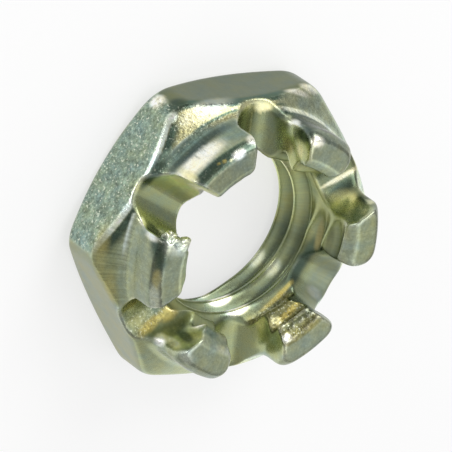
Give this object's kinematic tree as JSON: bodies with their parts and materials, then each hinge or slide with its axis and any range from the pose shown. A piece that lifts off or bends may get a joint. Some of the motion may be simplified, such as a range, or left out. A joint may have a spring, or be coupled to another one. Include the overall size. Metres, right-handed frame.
{
  "type": "castle nut",
  "caption": "Low hexagonal castle nut with rounded split-pin slots across its crown, a chamfered base and a coarse right-hand thread through it, in plated steel.",
  "frame": {"origin": "on the bore's axis in the plane of the bearing face, which is the underside the nut rests on", "axes": "+Z along the bore from the bearing face to the slotted crown; +X out through the middle of one flat and the slot above it; +Y through a corner of the hexagon"},
  "size_m": [0.027, 0.0306, 0.0115],
  "materials": {
    "plated_steel": "bright zinc plate with a yellow-green passivation, satin on the flats, glossy in the slots and thread"
  },
  "bodies": {
    "root": {"castle_nut": "plated_steel"}
  },
  "joints": []
}
